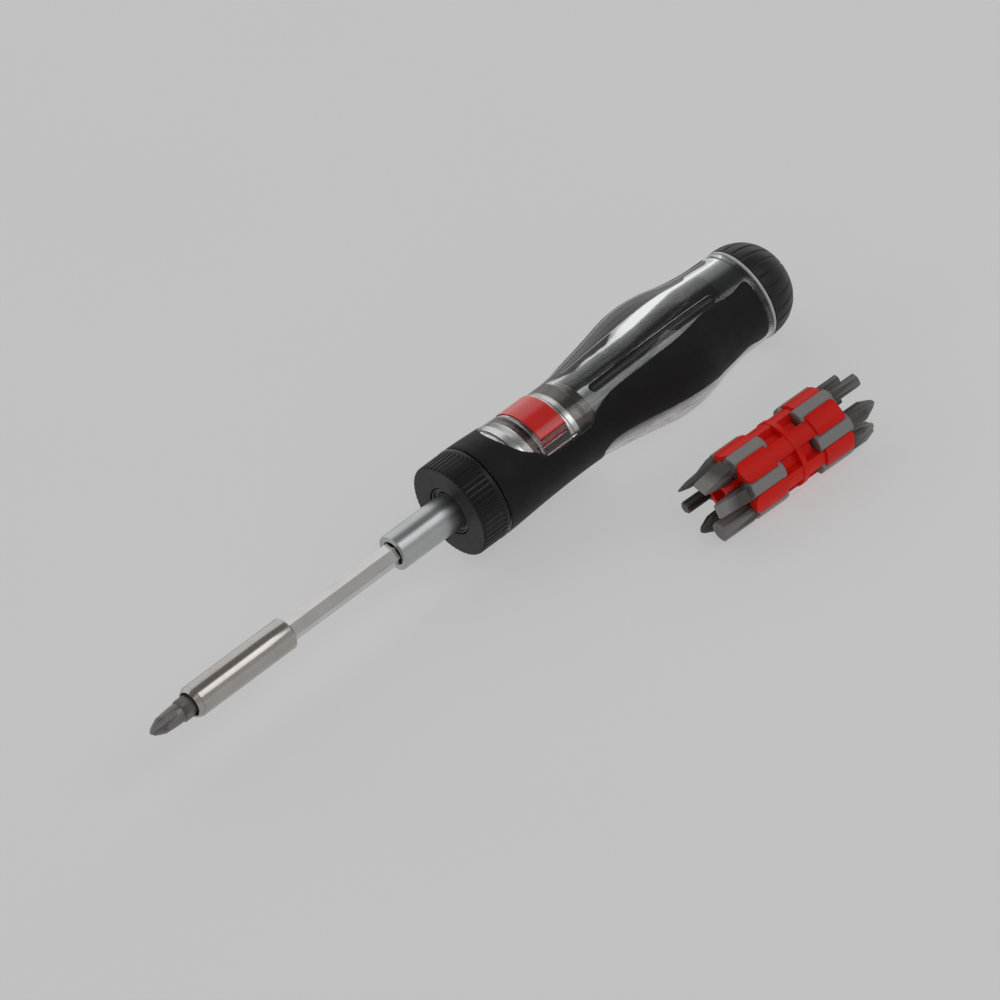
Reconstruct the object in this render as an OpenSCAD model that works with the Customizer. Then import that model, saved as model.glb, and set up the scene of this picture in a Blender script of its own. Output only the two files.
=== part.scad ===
// Ratcheting screwdriver with a telescoping hex blade, a magnetic bit holder, a selector
// collar, a clear handle with a soft grip, a red blade release button, a turning end cap
// and a red bit magazine that lies beside the tool.
// Frame: X runs along the tool, +X towards the bit; the origin is the centre of the bit
// holder's mouth; +Z goes up through the middle of the button; +Y is the magazine's side.

/* [Blade and bit] */
// nominal hexagon across flats of the blade
hex_af = 6.35; // [6.2:0.05:6.4]
// outer diameter of the bit holder barrel
holder_d = 10.5; // [9.8:0.1:11]
// length of the bit holder barrel
holder_len = 39.8; // [36:0.1:40]
// how far the blade slides into the handle
blade_travel = 40; // [30:1:40]

/* [Drive and selector] */
// outer diameter of the round drive tube
tube_d = 11.8; // [11.4:0.1:11.8]
// outer diameter of the selector collar
collar_d = 30.9; // [30.5:0.1:31.4]
// number of grip grooves around the selector collar
collar_ribs = 55; // [30:1:60]

/* [Handle] */
// thickness of the soft grip
grip_t = 1.35; // [1.2:0.05:1.5]
// diameter of the round magazine chamber
chamber_d = 24.5; // [24.4:0.1:24.6]
// radius of the domed end cap
dome_r = 15.3; // [15:0.1:15.6]
// height of the dome along the tool
dome_h = 14.7; // [14:0.1:15.5]

/* [Button] */
// length of the button along the tool
button_len = 10; // [9:0.1:10]
// width of the button across the tool
button_w = 19.9; // [18:0.1:20]

/* [Magazine] */
// distance of the magazine's axis from the tool's axis
mag_y = 58.9; // [48:0.1:70]
// centre of the magazine along the tool
mag_x = -186.8; // [-190:0.2:-150]
// angle between the magazine and the tool, seen from above
mag_yaw = 2; // [0:0.5:2]
// radius of the circle the stored bits stand on
bit_circle = 8.5; // [8.4:0.05:8.8]

/* [Hidden] */
$fn = 64;
tube_r = tube_d / 2;
collar_r = collar_d / 2;
chamber_r = chamber_d / 2;
holder_r = holder_d / 2;
floor_z = -19.15;
mag_z = floor_z + 11.79;
rx = -8.5; // where the ratchet sits, against its own drawing
xb = -142.6; // middle of the button
af_bit = 6.3;
teeth = 24;
// outer profile of the handle: [x, radius]
prof = [[-117.2, 15.5], [-119.6, 15.45], [-122.2, 15.33], [-125, 15.18], [-128, 15.0], [-131, 14.83],
        [-134, 14.67], [-138, 14.52], [-142, 14.38], [-146, 14.29], [-150, 14.24], [-154, 14.24],
        [-157, 14.32], [-160, 14.55], [-163, 14.95], [-165.5, 15.35], [-168, 15.75], [-170.6, 16.15],
        [-173.3, 16.6], [-175.9, 17.08], [-178.5, 17.55], [-181.1, 18.05], [-183.7, 18.52],
        [-186.2, 18.86], [-188.6, 19.05], [-191, 19.13], [-193.4, 19.05], [-195.9, 18.86],
        [-198.3, 18.5], [-200.9, 18.0], [-203.2, 17.4], [-205.9, 16.75], [-208.8, 16.25],
        [-211.5, 15.85], [-214.3, 15.53], [-217.2, 15.33], [-220.5, 15.22], [-225.85, 15.2]];

// ---------- helpers ----------
// solid of revolution about X from [x, radius] points; closed on the axis when inner = 0
module rev(p) rotate([0, 90, 0]) rotate_extrude() polygon([for (q = p) [q[1], q[0]]]);
// cylinder along X between x0 and x1 (x0 < x1)
module ax(x0, x1, r) translate([x0, 0, 0]) rotate([0, 90, 0]) cylinder(h = x1 - x0, r = r);
module tube(x0, x1, r0, r1) difference() { ax(x0, x1, r1); ax(x0 - 1, x1 + 1, r0); }
// hexagon along X, one flat facing +Z when turn = 0
module hexx(x0, x1, af, turn = 0) rotate([turn, 0, 0]) translate([x0, 0, 0]) rotate([0, 90, 0]) rotate([0, 0, 30]) cylinder(h = x1 - x0, r = af / 2 / cos(30), $fn = 6);
module bx(x0, x1, y0, y1, z0, z1) translate([x0, y0, z0]) cube([x1 - x0, y1 - y0, z1 - z0]);
// radial solid profile reduced by d, closed to the axis
function shrunk(d) = concat([for (q = prof) [q[0], q[1] - d]], [[prof[len(prof) - 1][0], 0], [prof[0][0], 0]]);
module body_solid(d = 0) rev(shrunk(d));
// a cylinder along X at radius R and angle psi from +Z towards +Y
module at(psi, R) rotate([-psi, 0, 0]) translate([0, 0, R]) children();
// a coil spring of n turns, height h and coil radius R, drawn as rings tied by a thin wire
module coil(h, R, w, n) {
  for (i = [0 : n - 1]) translate([0, 0, w + i * (h - 2 * w) / (n - 1)]) rotate_extrude() translate([R, 0]) circle(r = w);
  translate([R - w * 0.6, -w * 0.6, w]) cube([w * 1.2, w * 1.2, h - 2 * w]);
}

// where the soft grip lies: the front sleeve less its top window, and the two side panels
module grip_region() {
  difference() {
    ax(-157.6, -116, 30);
    linear_extrude(height = 40) polygon([[-126.2, 0], [-126.3, 2], [-126.9, 4], [-127.7, 6], [-128.6, 7.6], [-130.2, 9.7],
      [-132.2, 11.0], [-134.2, 11.8], [-135.3, 12.6], [-136.4, 13.3], [-154, 13.3], [-156, 12.95], [-158, 12.3],
      [-158, -12.3], [-156, -12.95], [-154, -13.3], [-136.4, -13.3], [-135.3, -12.6], [-134.2, -11.8], [-132.2, -11.0],
      [-130.2, -9.7], [-128.6, -7.6], [-127.7, -6], [-126.9, -4], [-126.3, -2]]);
  }
  translate([0, 30, 0]) rotate([90, 0, 0]) linear_extrude(height = 60) polygon([[-157.5, 7.2], [-158.8, 8.0], [-160.2, 8.6],
    [-163.3, 9.7], [-166.4, 10.55], [-169.5, 11.1], [-173, 11.5], [-177.2, 12.0], [-183.1, 12.95], [-189.4, 13.45],
    [-196.1, 13.65], [-200, 13.6], [-203.4, 13.35], [-207.1, 12.85], [-210.8, 12.4], [-214.3, 11.9], [-217.8, 11.75],
    [-220.6, 12.1], [-222.3, 12.2], [-223.5, 11.5], [-224, 10], [-224.1, 0], [-223.9, -6], [-222.9, -7.3], [-220.4, -7.4],
    [-217.8, -6.6], [-215.2, -6.1], [-208.5, -6.8], [-200.9, -6.2], [-193.8, -5.1], [-186.9, -4.4], [-180.3, -4.1],
    [-174.1, -3.7], [-167.5, -3.3], [-163.5, -3.5], [-161, -4.1], [-159, -5.2], [-157.5, -6.4]]);
}

// ---------- handle body ----------
module barrel_outer(d) rev([[-128, 0], [-128, 11.4 + d], [-129.1, 12.1 + d], [-131.5, 12.15 + d], [-134.1, 11.75 + d], [-136.1, 10.8 + d], [-137.1, 9.5 + d], [-155.7, 9.5 + d], [-155.7, 0]]);

module handle_core() color([0.86, 0.88, 0.88, 0.35]) difference() {
  body_solid();
  intersection() { difference() { ax(-227, -116, 24); body_solid(grip_t + 0.05); } grip_region(); }
  ax(-128.02, -116, 12.45);
  barrel_outer(0.05);
  ax(-155.8, -155.2, 9.55);
  ax(-227, -155.75, chamber_r);
  for (a = [-150, -90, -30, 30, 90, 150]) at(a, chamber_r - 0.6) { ax(-211, -163, 1.6); translate([-211, 0, 0]) sphere(r = 1.6); translate([-163, 0, 0]) sphere(r = 1.6); }
  difference() { bx(-149, -136.45, -13.05, 13.05, 0, 20); ax(-151, -133, 12.45); }
  difference() { bx(xb - 5.3, xb + 5.3, -10.25, 10.25, 0, 20); ax(-151, -133, 10.5); }
  bx(xb - 1.1, xb + 1.1, -6, 6, -9.6, 13);
  for (s = [-1, 1]) translate([xb - 3.3, 5.5 * s, 7.35]) cylinder(h = 6, r = 1.35);
}

module soft_grip() color([0.06, 0.06, 0.065]) intersection() {
  difference() { body_solid(); body_solid(grip_t); ax(-227, -224.3, 8); }
  grip_region();
}

module rear_ring() color([0.85, 0.86, 0.86]) rev([[-226.8, 12.3], [-226.8, 15.05], [-226.6, 15.25], [-226.1, 15.25], [-225.9, 15.05], [-225.9, 12.3]]);

module bulkhead() color([0.16, 0.12, 0.11]) rev([[-158.5, 5.2], [-158.5, 11.6], [-157.9, chamber_r - 0.05], [-155.8, chamber_r - 0.05], [-155.8, 5.2]]);

module inner_barrel() color([0.78, 0.79, 0.8]) difference() {
  barrel_outer(0);
  ax(-137.6, -127, 7.6);
  ax(-157, -127, 6.4);
  bx(xb - 1.05, xb + 1.05, -5.95, 5.95, -9.2, 10);
  for (s = [-1, 1]) translate([xb - 3.3, 5.5 * s, 7.45]) cylinder(h = 4, r = 1.3);
}

module button_frame() color([0.9, 0.8, 0.8, 0.4]) difference() {
  intersection() { tube(-148.95, -136.5, 12.5, 14.2); bx(-150, -133, -13, 13, 0, 20); }
  bx(xb - 5.25, xb + 5.25, -10.2, 10.2, 0, 20);
  for (s = [-1, 1]) for (k = [0, 1]) bx(xb - 4.5, xb + 4.5, s * (11.0 + k * 0.9) - 0.15, s * (11.0 + k * 0.9) + 0.15, 0, 20);
}

module button_springs() color([0.7, 0.7, 0.72]) for (s = [-1, 1]) translate([xb - 3.3, 5.5 * s, 7.5]) coil(2.7, 0.85, 0.17, 5);

// ---------- ratchet ----------
pawl_psi = 37.5;
pin_R = 10.4;
tip_r = 7.707;
// pocket for one pawl, drawn as for the right-hand pawl and then turned into place
module pocket2d() polygon([[4.2, 6.8], [6.6, 4.6], [8.6, 5.2], [9.0, 8.4], [5.6, 10.4], [2.6, 12.6], [2.4, 13.6], [-6.8, 13.6], [-6.2, 9.6], [-1.8, 8.0], [1.2, 7.9]]);
module pawl2d() polygon([[5.45 + 0.13, 5.45 - 0.13], [7.14, 6.16], [7.85, 6.95], [6.95, 7.85], [4.6, 9.4], [2.2, 11.5], [0, 12.2], [-4.6, 11.7], [-4.9, 10.4], [-1.6, 8.95], [1.6, 8.9], [6.16, 7.14], [5.45 - 0.13, 5.45 + 0.13]]);
// places a 2-D outline, [tangential, radial], at angle psi from +Z towards +Y, as a plate along X
module plate(x0, x1, psi, mir = 1) translate([x0, 0, 0]) rotate([-psi * mir, 0, 0]) rotate([90, 0, 90]) linear_extrude(height = x1 - x0) scale([1, 1]) children();

module ratchet_housing() color([0.2, 0.2, 0.21]) translate([rx, 0, 0]) difference() {
  rev([[-116.8, 0], [-116.8, 12.0], [-116.4, 12.4], [-108.35, 12.4], [-108.35, 13.0], [-101.5, 13.0], [-101.5, 0]]);
  ax(-107, -101, 8.45);
  ax(-117, -106, tube_r + 0.05);
  plate(-107, -101, pawl_psi) pocket2d();
  plate(-107, -101, -pawl_psi) mirror([1, 0]) pocket2d();
  difference() { intersection() { ax(-107, -101, 14); plate(-107, -101, 0) polygon([[0, 8], [-9, 14], [9, 14]]); } ax(-108, -100, 12.3); }
  for (s = [-1, 1]) at(pawl_psi * s, pin_R) ax(-109.5, -101, 1.03);
  for (s = [-1, 1]) at(82.5 * s, 10) translate([-104.3, 0, -0.2]) cylinder(h = 2.6, r = 1.15);
  translate([-104, 0, -13.5]) cylinder(h = 4.2, r = 1.15);
}

module front_bush() color([0.05, 0.05, 0.055]) translate([rx, 0, 0]) difference() {
  rev([[-101.4, tube_r + 0.05], [-101.4, 13.0], [-100.2, 13.0], [-100.2, 7.75], [-98.35, 7.75], [-98.2, 7.6], [-98.2, 7.25], [-98.8, 6.95], [-99.0, 6.35], [-99.3, tube_r + 0.05]]);
  for (s = [-1, 1]) at(pawl_psi * s, pin_R) ax(-102, -101, 1.03);
}

module thrust_washer() color([0.7, 0.6, 0.35]) translate([rx, 0, 0]) tube(-117.7, -116.95, tube_r + 0.1, 8.4);
module tube_circlip() color([0.35, 0.35, 0.37]) translate([rx, 0, 0]) difference() { tube(-118.8, -117.85, tube_r - 0.4, 7.1); bx(-119.5, -117, -1.6, 1.6, 3, 9); }
module pawl_pins() color([0.6, 0.6, 0.62]) translate([rx, 0, 0]) for (s = [-1, 1]) at(pawl_psi * s, pin_R) ax(-109.3, -101.05, 1.0);
module detent_ball() color([0.75, 0.75, 0.77]) translate([rx, 0, 0]) translate([-104, 0, -12.0]) sphere(r = 1.1);
module detent_spring() color([0.7, 0.7, 0.72]) translate([rx, 0, 0]) translate([-104, 0, -10.7]) coil(1.2, 0.75, 0.14, 3);

module pawl_right() color([0.45, 0.45, 0.47]) translate([rx, 0, 0]) difference() { plate(-106.8, -101.7, pawl_psi) pawl2d(); at(pawl_psi, pin_R) ax(-108, -101, 1.05); }
module pawl_left() color([0.45, 0.45, 0.47]) translate([rx, 0, 0]) difference() { plate(-106.8, -101.7, -pawl_psi) mirror([1, 0]) pawl2d(); at(-pawl_psi, pin_R) ax(-108, -101, 1.05); }
module pawl_coil() translate([-104.3, 0, 10.5]) coil(1.1, 0.7, 0.13, 3);
module pawl_spring_right() color([0.7, 0.7, 0.72]) translate([rx, 0, 0]) rotate([-82.5, 0, 0]) pawl_coil();
module pawl_spring_left() color([0.7, 0.7, 0.72]) translate([rx, 0, 0]) rotate([82.5, 0, 0]) pawl_coil();

module ratchet_gear() color([0.4, 0.4, 0.42]) translate([rx, 0, 0]) difference() {
  ax(-106.7, -101.8, 8.2);
  ax(-107, -101, tube_r + 0.02);
  for (k = [0 : teeth - 1]) translate([-107, 0, 0]) rotate([-(k + 0.5) * 360 / teeth, 0, 0]) rotate([90, 0, 90]) linear_extrude(height = 6) polygon([[-0.46, 6.75], [0.46, 6.75], [0.84, 8.6], [-0.84, 8.6]]);
}

module selector_ring() color([0.055, 0.055, 0.06]) difference() {
  union() {
    difference() {
      rev([[-106.4, 8.05], [-106.4, collar_r - 0.4], [-106.8, collar_r], [-115.1, collar_r], [-115.3, collar_r + 0.12], [-116.65, collar_r + 0.12], [-116.85, collar_r - 0.1], [-116.85, 13.3], [-108.5, 13.3], [-108.5, 8.05]]);
      for (k = [0 : collar_ribs - 1]) at(k * 360 / collar_ribs, collar_r + 0.18) ax(-115.0, -105, 0.52);
    }
    translate([rx, 0, 0]) intersection() { tube(-106.4, -102.4, 12.85, 13.5); plate(-106.4, -102.4, 0) polygon([[0, 0], [-1.95, 13.9], [1.95, 13.9]]); }
  }
  for (a = [165, 180, 195]) at(a, 13.55) ax(-105.2 + rx, -102.8 + rx, 0.75);
}

// ---------- drive ----------
module drive_tube() color([0.72, 0.72, 0.73]) rev([[-136.5, 4.75], [-136.5, tube_r - 0.3], [-136.2, tube_r], [-127.4, tube_r], [-127.4, tube_r - 0.5], [-126.3, tube_r - 0.5], [-126.3, tube_r],
  [-83.6, tube_r], [-83.2, tube_r - 0.35], [-83.2, 4.0], [-84.4, 4.0], [-84.4, 4.75]]);
module hex_guide_bushes() color([0.12, 0.12, 0.13]) difference() {
  union() { ax(-97.5, -84.5, 4.73); ax(-136.3, -128.5, 4.73); }
  hexx(-138, -83, hex_af + 0.1);
}

// ---------- blade ----------
module hex_blade() color([0.75, 0.74, 0.72]) difference() {
  intersection() { hexx(-148.8, -21.5, hex_af); rev([[-148.8, 0], [-148.8, 3.1], [-148.2, 3.7], [-22, 3.7], [-21.5, 3.2], [-21.5, 0]]); }
  for (x = [xb + 40, xb + 20, xb]) difference() { ax(x - 1, x + 1, 5); ax(x - 2, x + 2, 3.0); }
}
module bit_holder_sleeve() color([0.7, 0.69, 0.67]) difference() {
  rev([[-holder_len, 0], [-holder_len, holder_r - 0.8], [-holder_len + 0.8, holder_r], [0, holder_r], [0, 0]]);
  hexx(-13.6, 1, hex_af + 0.1);
  ax(-17.5, -12.5, 3.55);
  hexx(-holder_len - 1, -20.5, hex_af + 0.04);
  tube(-6.2, -5.0, 0.5, 4.25);
}
module holder_magnet() color([0.5, 0.5, 0.52]) ax(-17.4, -9.6, 3.0);
module bit_retaining_ring() color([0.6, 0.6, 0.62]) difference() { tube(-5.9, -5.3, 3.72, 4.2); bx(-7, -4, -1, 1, 2, 6); }

// ---------- bit tips: drawn along +X from x = 0 at the end of the hexagon ----------
module tip_cross(r, l, blunt = 0.9) difference() {
  rev([[-0.01, 0], [-0.01, r], [l - 4.9, r], [l - 0.9, blunt + 0.55], [l - 0.3, blunt], [l, blunt - 0.55], [l, 0]]);
  for (k = [0 : 3]) rotate([45 + 90 * k, 0, 0]) translate([l, 0, 2.15]) rotate([0, -164, 0]) translate([-2, 0, 0]) ax(0, l + 2, 1.7);
}
module tip_slot(w, t, l) intersection() {
  union() { rev([[-0.01, 0], [-0.01, 3.1], [1.4, w / 2], [l, w / 2], [l, 0]]); bx(1.6, l, -w / 2, w / 2, -3, 3); }
  translate([0, w + 1, 0]) rotate([90, 0, 0]) linear_extrude(height = 2 * w + 2) polygon([[-0.01, -3.2], [0.6, -3.2], [l, -t / 2], [l, t / 2], [0.6, 3.2], [-0.01, 3.2]]);
}
module tip_star(r, l) difference() {
  rev([[-0.01, 0], [-0.01, r + 0.5], [0.8, r], [l - 0.5, r], [l, r - 0.5], [l, 0]]);
  for (k = [0 : 5]) rotate([60 * k, 0, 0]) translate([0, 0, r + 0.25]) ax(0.9, l + 1, 0.62);
}
module tip_hex(af, l) union() {
  rev([[-0.01, 0], [-0.01, 3.1], [1.2, af / 2], [1.2, 0]]);
  intersection() { hexx(1.0, l, af); rev([[0, 0], [0, 4], [l - 0.6, 4], [l, af / 2 - 0.25], [l, 0]]); }
}
module tip_slim(l) rev([[-0.01, 0], [-0.01, 3.1], [1.6, 2.9], [6.4, 1.55], [l - 3.6, 1.1], [l - 0.2, 0.35], [l, 0.15], [l, 0]]);
// plain hexagon shank of a bit from x = 0 to body
module shank(body) intersection() { hexx(0, body, af_bit); rev([[0, 0], [0, 3.1], [0.5, 3.7], [body - 0.5, 3.7], [body, 3.1], [body, 0]]); }
// the same with the groove that the retaining ring snaps into
module shank_ringed(body) difference() {
  shank(body);
  difference() { ax(7.2, 8.6, 5); ax(7, 9, 3.25); }
}

module phillips_bit() color([0.3, 0.3, 0.31]) translate([-9.4, 0, 0]) { shank_ringed(13.8); translate([13.8, 0, 0]) tip_cross(3.12, 11.4, 1.1); }

// ---------- button ----------
module release_button() color([0.75, 0.05, 0.03]) intersection() { tube(xb - button_len / 2, xb + button_len / 2, 12.1, 14.5); bx(xb - 8, xb + 8, -button_w / 2, button_w / 2, 0, 20); }
module latch_plate() color([0.55, 0.55, 0.57]) translate([xb, 0, 0]) difference() {
  union() { bx(-0.8, 0.8, -5.6, 5.6, -7.0, 9.2); bx(-0.8, 0.8, -1.2, 1.2, 9, 12.0); }
  ax(-2, 2, 3.8);
  bx(-2, 2, -3.8, 3.8, 0, 1.9);
  translate([0, 0, 1.9]) ax(-2, 2, 3.8);
}

// ---------- end cap ----------
module cap_plug() color([0.06, 0.06, 0.065]) difference() {
  rev([[-235.2, 0], [-235.2, 3.6], [-234.8, 4.0], [-226.85, 4.0], [-226.85, 12.15], [-226.3, 12.15], [-226.3, 11.25], [-225.1, 11.25], [-225.1, 12.15], [-216.6, 12.15], [-215.6, 11.85], [-215.6, 0]]);
  ax(-224.3, -214, 11.5);
  ax(-236, -223, 1.6);
}
module cap_o_ring() color([0.04, 0.04, 0.04]) translate([-225.7, 0, 0]) rotate([0, 90, 0]) rotate_extrude() translate([11.75, 0]) circle(r = 0.42);
module cap_pivot_screw() color([0.6, 0.6, 0.62]) difference() {
  rev([[-237.7, 0], [-237.7, 1.1], [-237.3, 1.5], [-224.25, 1.5], [-224.25, 3.4], [-222.4, 3.4], [-222, 3.0], [-222, 0]]);
  for (a = [0, 90]) rotate([a, 0, 0]) bx(-223.4, -221, -2.0, 2.0, -0.35, 0.35);
}
module cap_dome() color([0.06, 0.06, 0.065]) difference() {
  rev(concat([for (i = [0 : 20]) let(t = 90 * i / 20) [-226.9 - dome_h * pow(sin(t), 0.9), dome_r * pow(cos(t), 0.9)]], [[-226.9, 0]]));
  ax(-235.3, -226, 4.05);
  ax(-238, -235, 1.53);
}

// ---------- magazine, drawn about its own centre and then set beside the tool ----------
bit_psi = [11, -49, -109, 191, 131, 71];
rear_x = 7.1;
rear_b = 6.4;
module mag() translate([mag_x, mag_y, mag_z]) rotate([0, 0, -mag_yaw]) children();
// one clip finger between x0 and x1 (x1 is its free end), with its free end rounded by rr
module finger_block(psi, x0, x1, rr) {
  s = sign(x1 - x0);
  w = 3.65;
  intersection() {
    plate(min(x0, x1), max(x0, x1), psi) polygon([[-1.3, 8.4], [1.3, 8.4], [4.2, 9.6], [4.2, 12], [-4.2, 12], [-4.2, 9.6]]);
    ax(min(x0, x1), max(x0, x1), 11.5);
    rotate([-psi, 0, 0]) linear_extrude(height = 13) polygon(concat([[x0, -w]],
      [for (a = [0 : 15 : 90]) [x1 - s * rr + s * rr * sin(a), rr - w - rr * cos(a)]],
      [for (a = [90 : -15 : 0]) [x1 - s * rr + s * rr * sin(a), w - rr + rr * cos(a)]], [[x0, w]]));
  }
}
module magazine_carrier() color([0.8, 0.06, 0.04]) mag() difference() {
  union() {
    ax(-20.5, 24.7, 5.6);
    ax(-5.4, 6.85, 8.5);
    ax(-0.85, 0.85, 11.0);
    for (a = bit_psi) {
      finger_block(a + 30, 8.5, 20.3, 2.6);
      finger_block(a + 30, -8.0, -18.7, 1.0);
      intersection() { plate(-8.6, 8.6, a + 30) polygon([[-2.75, 0], [2.75, 0], [2.75, 11.2], [-2.75, 11.2]]); ax(-8.6, 8.6, 10.7); }
      intersection() { plate(-28, 28, a + 30) polygon([[-0.75, 0], [0.75, 0], [0.75, 9.6], [-0.75, 9.6]]); ax(-18.5, 20.1, 9.0); }
    }
  }
  ax(-40, 40, 3.9);
  for (a = bit_psi) at(a, bit_circle) { hexx(rear_x - 0.1, 40, af_bit + 0.12); hexx(-40, -rear_b + 0.1, af_bit + 0.12); }
}
// a stored bit of the front group: hexagon from rear_x, tip towards +X; the rear group is its mirror
module fbit(k) mag() at(bit_psi[k], bit_circle) translate([rear_x, 0, 0]) children();
module rbit(k) mag() at(bit_psi[k], bit_circle) translate([-rear_b, 0, 0]) mirror([1, 0, 0]) children();
bit_col = [0.36, 0.36, 0.36];
module mag_bit_f1() color(bit_col) fbit(0) { shank(13); translate([13, 0, 0]) tip_slot(5.1, 1.2, 12); }
module mag_bit_f2() color(bit_col) fbit(1) translate([1.4, 0, 0]) { shank(11.2); translate([11.2, 0, 0]) tip_slim(14.7); }
module mag_bit_f3() color(bit_col) fbit(2) { shank(16); translate([16, 0, 0]) tip_star(2.0, 9.6); }
module mag_bit_f4() color(bit_col) fbit(3) { shank(14.5); translate([14.5, 0, 0]) tip_cross(3.0, 11.6, 0.9); }
module mag_bit_f5() color(bit_col) fbit(4) { shank(12); translate([12, 0, 0]) tip_hex(6.0, 13); }
module mag_bit_f6() color(bit_col) fbit(5) { shank(13); translate([13, 0, 0]) tip_slot(4.2, 1.2, 12); }
module mag_bit_r1() color(bit_col) rbit(0) { shank(13.2); translate([13.2, 0, 0]) tip_hex(4.0, 10.8); }
module mag_bit_r2() color(bit_col) rbit(1) { shank(13.2); translate([13.2, 0, 0]) tip_hex(3.0, 9.6); }
module mag_bit_r3() color(bit_col) rbit(2) { shank(13.2); translate([13.2, 0, 0]) tip_hex(2.5, 9.6); }
module mag_bit_r4() color(bit_col) rbit(3) { shank(13.2); translate([13.2, 0, 0]) tip_slot(5.0, 1.0, 9.6); }
module mag_bit_r5() color(bit_col) rbit(4) { shank(12.5); translate([12.5, 0, 0]) tip_cross(3.0, 10.3, 1.3); }
module mag_bit_r6() color(bit_col) rbit(5) { shank(13.2); translate([13.2, 0, 0]) tip_cross(3.0, 10.9, 0.8); }

handle_core();
soft_grip();
ratchet_housing();
front_bush();
thrust_washer();
inner_barrel();
bulkhead();
button_frame();
button_springs();
pawl_pins();
detent_ball();
detent_spring();
rear_ring();
selector_ring();
drive_tube();
ratchet_gear();
hex_guide_bushes();
tube_circlip();
pawl_right();
pawl_left();
pawl_spring_right();
pawl_spring_left();
hex_blade();
bit_holder_sleeve();
holder_magnet();
bit_retaining_ring();
phillips_bit();
release_button();
latch_plate();
cap_plug();
cap_o_ring();
cap_dome();
cap_pivot_screw();
magazine_carrier();
mag_bit_f1();
mag_bit_f2();
mag_bit_f3();
mag_bit_f4();
mag_bit_f5();
mag_bit_f6();
mag_bit_r1();
mag_bit_r2();
mag_bit_r3();
mag_bit_r4();
mag_bit_r5();
mag_bit_r6();
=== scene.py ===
import bpy, bmesh, math
import numpy as np
from mathutils import Matrix, Vector, geometry


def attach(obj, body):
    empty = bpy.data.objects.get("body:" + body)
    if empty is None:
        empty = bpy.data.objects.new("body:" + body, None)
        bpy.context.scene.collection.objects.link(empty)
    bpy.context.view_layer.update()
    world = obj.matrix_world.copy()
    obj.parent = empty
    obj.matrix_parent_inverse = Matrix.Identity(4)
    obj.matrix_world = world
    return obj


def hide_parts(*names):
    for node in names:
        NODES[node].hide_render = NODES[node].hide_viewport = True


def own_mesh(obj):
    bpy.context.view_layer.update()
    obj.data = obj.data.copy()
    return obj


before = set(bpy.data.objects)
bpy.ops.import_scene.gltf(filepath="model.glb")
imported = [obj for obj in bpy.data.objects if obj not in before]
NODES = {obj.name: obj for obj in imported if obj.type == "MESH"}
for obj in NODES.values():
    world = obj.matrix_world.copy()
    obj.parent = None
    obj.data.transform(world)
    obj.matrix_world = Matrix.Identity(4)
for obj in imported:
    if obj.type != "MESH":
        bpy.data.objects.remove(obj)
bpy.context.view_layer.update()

scene = bpy.context.scene
rng = np.random.default_rng(7)
MM = 0.001

# ------------------------------------------------------------------ camera
RIGHT = Vector((-0.71875, 0.66435, -0.20468))
UP = Vector((-0.53445, -0.33978, 0.77379))
BACK = Vector((0.4446, 0.6656, 0.5993))
cam_data = bpy.data.cameras.new("camera")
cam_data.sensor_width = 36.0
cam_data.lens = 1460.2
cam_data.clip_start = 2.0
cam_data.clip_end = 60.0
cam = bpy.data.objects.new("camera", cam_data)
scene.collection.objects.link(cam)
b = BACK.normalized()
r = (RIGHT - b * RIGHT.dot(b)).normalized()
u = b.cross(r).normalized()
loc = Vector((-0.11615, 0, 0)) + 12.0 * b + 0.007997 * r - 0.001787 * u
cam.matrix_world = Matrix(((r.x, u.x, b.x, loc.x), (r.y, u.y, b.y, loc.y), (r.z, u.z, b.z, loc.z), (0, 0, 0, 1)))
scene.camera = cam

# ------------------------------------------------------------------ helpers
FLOOR = -19.15


def new_obj(name, verts, faces, body, replaces=(), smooth=True, sharp_deg=38):
    """A mesh from points in millimetres; it rides on a body and stands for the CAD nodes named."""
    me = bpy.data.meshes.new(name)
    me.from_pydata([(float(v[0]) * MM, float(v[1]) * MM, float(v[2]) * MM) for v in verts], [], [tuple(int(i) for i in f) for f in faces])
    me.validate()
    bm = bmesh.new()
    bm.from_mesh(me)
    bmesh.ops.remove_doubles(bm, verts=bm.verts, dist=2e-7)
    bmesh.ops.recalc_face_normals(bm, faces=bm.faces)
    bm.to_mesh(me)
    bm.free()
    ob = bpy.data.objects.new(name, me)
    scene.collection.objects.link(ob)
    if smooth:
        shade(ob, sharp_deg)
    if body:
        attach(ob, body)
    if replaces:
        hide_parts(*replaces)
    return ob


def shade(ob, deg=38):
    """Smooth shading with edges sharper than deg kept sharp."""
    me = ob.data
    me.polygons.foreach_set("use_smooth", [True] * len(me.polygons))
    bm = bmesh.new()
    bm.from_mesh(me)
    lim = math.radians(deg)
    for e in bm.edges:
        e.smooth = not (len(e.link_faces) == 2 and e.calc_face_angle(0.0) > lim)
    bm.to_mesh(me)
    bm.free()


def bool_cut(ob, cutters, op="DIFFERENCE"):
    """Applies boolean cuts to a piece of this script and removes the cutters."""
    for c in cutters:
        m = ob.modifiers.new("cut", "BOOLEAN")
        m.operation = op
        m.solver = "EXACT"
        m.object = c
    apply_mods(ob)
    for c in cutters:
        me = c.data
        bpy.data.objects.remove(c)
        bpy.data.meshes.remove(me)


def apply_mods(ob):
    dg = bpy.context.evaluated_depsgraph_get()
    dg.update()
    me = bpy.data.meshes.new_from_object(ob.evaluated_get(dg))
    ob.modifiers.clear()
    old = ob.data
    ob.data = me
    bpy.data.meshes.remove(old)
    me.name = ob.name


def bevel(ob, width, seg=2, deg=32, clamp=True):
    m = ob.modifiers.new("edge", "BEVEL")
    m.width = width * MM
    m.segments = seg
    m.limit_method = "ANGLE"
    m.angle_limit = math.radians(deg)
    m.use_clamp_overlap = clamp
    m.harden_normals = False
    return m


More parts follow.
